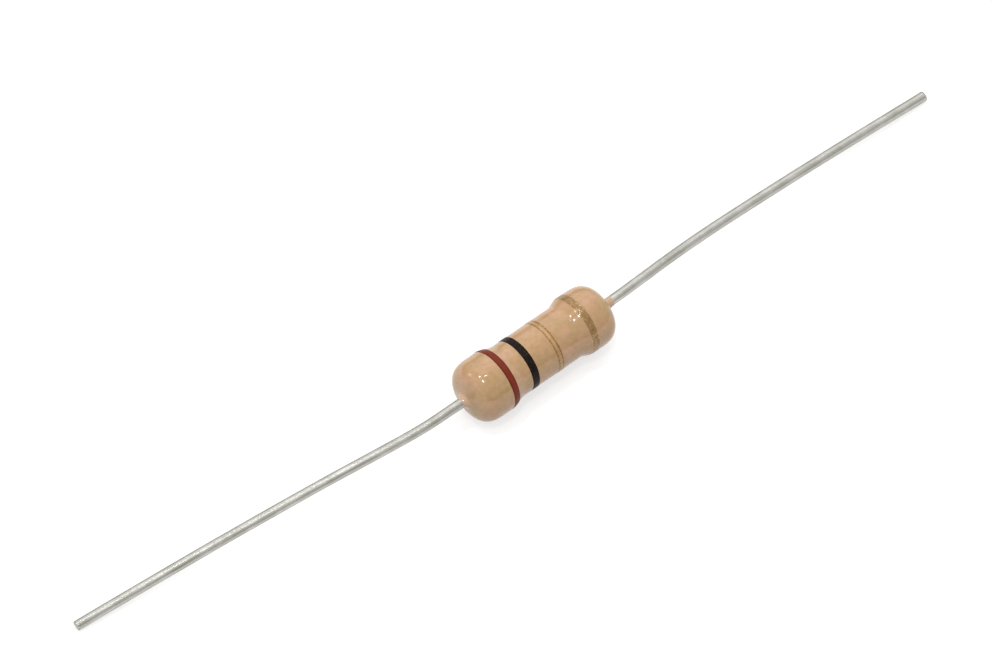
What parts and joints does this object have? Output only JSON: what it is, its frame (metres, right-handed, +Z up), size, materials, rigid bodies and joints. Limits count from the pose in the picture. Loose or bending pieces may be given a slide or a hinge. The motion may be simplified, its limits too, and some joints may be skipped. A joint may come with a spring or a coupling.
{
  "type": "axial resistor",
  "caption": "Axial-lead film resistor: a dog-bone body with colour bands and two bent wire leads, lying at rest.",
  "frame": {"origin": "on the surface that the resistor lies on, under the middle of its footprint", "axes": "+X along the body's axis towards the end with the last gold band; +Z up from the surface"},
  "size_m": [0.0656, 0.0056, 0.0042],
  "materials": {
    "tan_epoxy": "glossy cast epoxy",
    "brown_ink": "printed ink",
    "black_ink": "printed ink",
    "gold_ink": "printed ink with bronze flake",
    "tinned_copper": "bright tin over drawn copper wire",
    "cap_metal": "tin-plated drawn cup",
    "white_ceramic": "fired, unglazed",
    "carbon_film": "baked carbon film"
  },
  "bodies": {
    "root": {"ceramic_rod": "white_ceramic", "carbon_film": "carbon_film", "end_cap_left": "cap_metal", "end_cap_right": "cap_metal", "lead_left": "tinned_copper", "lead_right": "tinned_copper", "epoxy_coating": "tan_epoxy", "band_1_brown": "brown_ink", "band_2_black": "black_ink", "band_3_gold": "gold_ink", "band_4_gold": "gold_ink"}
  },
  "joints": []
}
